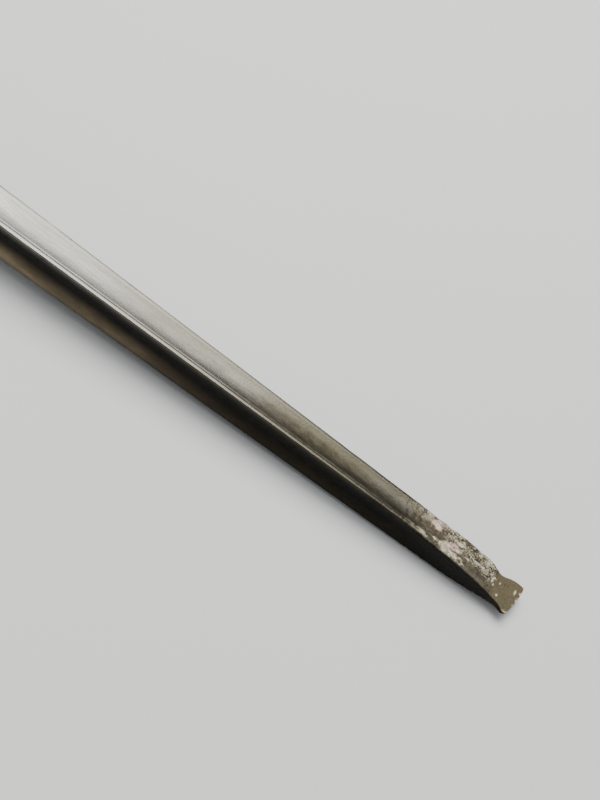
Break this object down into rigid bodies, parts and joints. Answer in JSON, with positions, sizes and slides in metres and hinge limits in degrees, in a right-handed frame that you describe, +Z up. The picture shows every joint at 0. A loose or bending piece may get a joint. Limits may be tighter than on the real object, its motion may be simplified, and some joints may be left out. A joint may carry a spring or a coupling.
{
  "type": "squeegee applicator",
  "caption": "Hand applicator: felt-edged card in a screw clamp on a swivelling head, wooden grip, and a long fluted steel lifter bar with a flared chisel tip.",
  "frame": {"origin": "middle of the tool's length and width, on the surface that it lies on", "axes": "+X along the tool towards the chisel tip, +Y across it, +Z up, the side that the knob and clamp screws are on"},
  "size_m": [0.3792, 0.1, 0.027],
  "materials": {
    "aged_steel": "forged and ground, dark with age, satin, pitted and scuffed near the tip",
    "bolster_brass": "dull, tarnished in the corners",
    "handle_wood": "oiled dark hardwood, worn on the edges",
    "rivet_brass": "turned, lightly worn",
    "cast_aluminium": "bead-blasted casting",
    "channel_aluminium": "brushed extrusion",
    "plated_steel": "nickel plated, satin",
    "bar_steel": "ground flat bar",
    "spring_steel": "blackened",
    "knob_plastic": "fine moulded grain, black",
    "white_nylon": "satin, slightly translucent, scratched",
    "pad_rubber": "black, matt",
    "edge_felt": "dense black felt"
  },
  "bodies": {
    "handle": {"lifter_bar": "aged_steel", "front_bolster": "bolster_brass", "upper_scale": "handle_wood", "lower_scale": "handle_wood", "rivet_barrels": "rivet_brass", "rivet_posts": "rivet_brass", "hang_hole_liner": "rivet_brass"},
    "head": {"yoke": "cast_aluminium", "swivel_bolt": "plated_steel", "friction_discs": "white_nylon", "knob_washer": "plated_steel", "clamp_channel": "channel_aluminium", "yoke_screws": "plated_steel", "jaw_pad": "pad_rubber"},
    "knob": {"swivel_knob": "knob_plastic", "knob_insert": "rivet_brass"},
    "left_screw": {"clamp_screw_left": "plated_steel", "clip_left": "spring_steel"},
    "right_screw": {"clamp_screw_right": "plated_steel", "clip_right": "spring_steel"},
    "jaw_bar": {"pressure_bar": "bar_steel"},
    "card": {"squeegee_card": "white_nylon", "felt_edge": "edge_felt"}
  },
  "joints": [
    {"name": "head_swivel", "type": "hinge", "parent": "handle", "child": "head", "pos_m": [-0.11038, 0, 0.0085], "axis": [0, 0, 1], "range_deg": [-60, 60]},
    {"name": "swivel_knob_turn", "type": "hinge", "parent": "head", "child": "knob", "pos_m": [-0.11038, 0, 0.0171], "axis": [0, 0, 1], "range_deg": [0, 180]},
    {"name": "clamp_screw_left_turn", "type": "hinge", "parent": "head", "child": "left_screw", "pos_m": [-0.15038, 0.029, 0.0175], "axis": [0, 0, -1], "range_deg": [0, 720]},
    {"name": "clamp_screw_right_turn", "type": "hinge", "parent": "head", "child": "right_screw", "pos_m": [-0.15038, -0.029, 0.0175], "axis": [0, 0, -1], "range_deg": [0, 720]},
    {"name": "pressure_bar_lift", "type": "slide", "parent": "head", "child": "jaw_bar", "axis": [0, 0, 1], "range_m": [0, 0.0016]},
    {"name": "card_slide", "type": "slide", "parent": "head", "child": "card", "axis": [-1, 0, 0], "range_m": [0, 0.02]}
  ],
  "couplings": [
    {"joint": "clamp_screw_right_turn", "follows": "clamp_screw_left_turn", "ratio": 1},
    {"joint": "pressure_bar_lift", "follows": "clamp_screw_left_turn", "m_per_rad": 0.0001273}
  ]
}
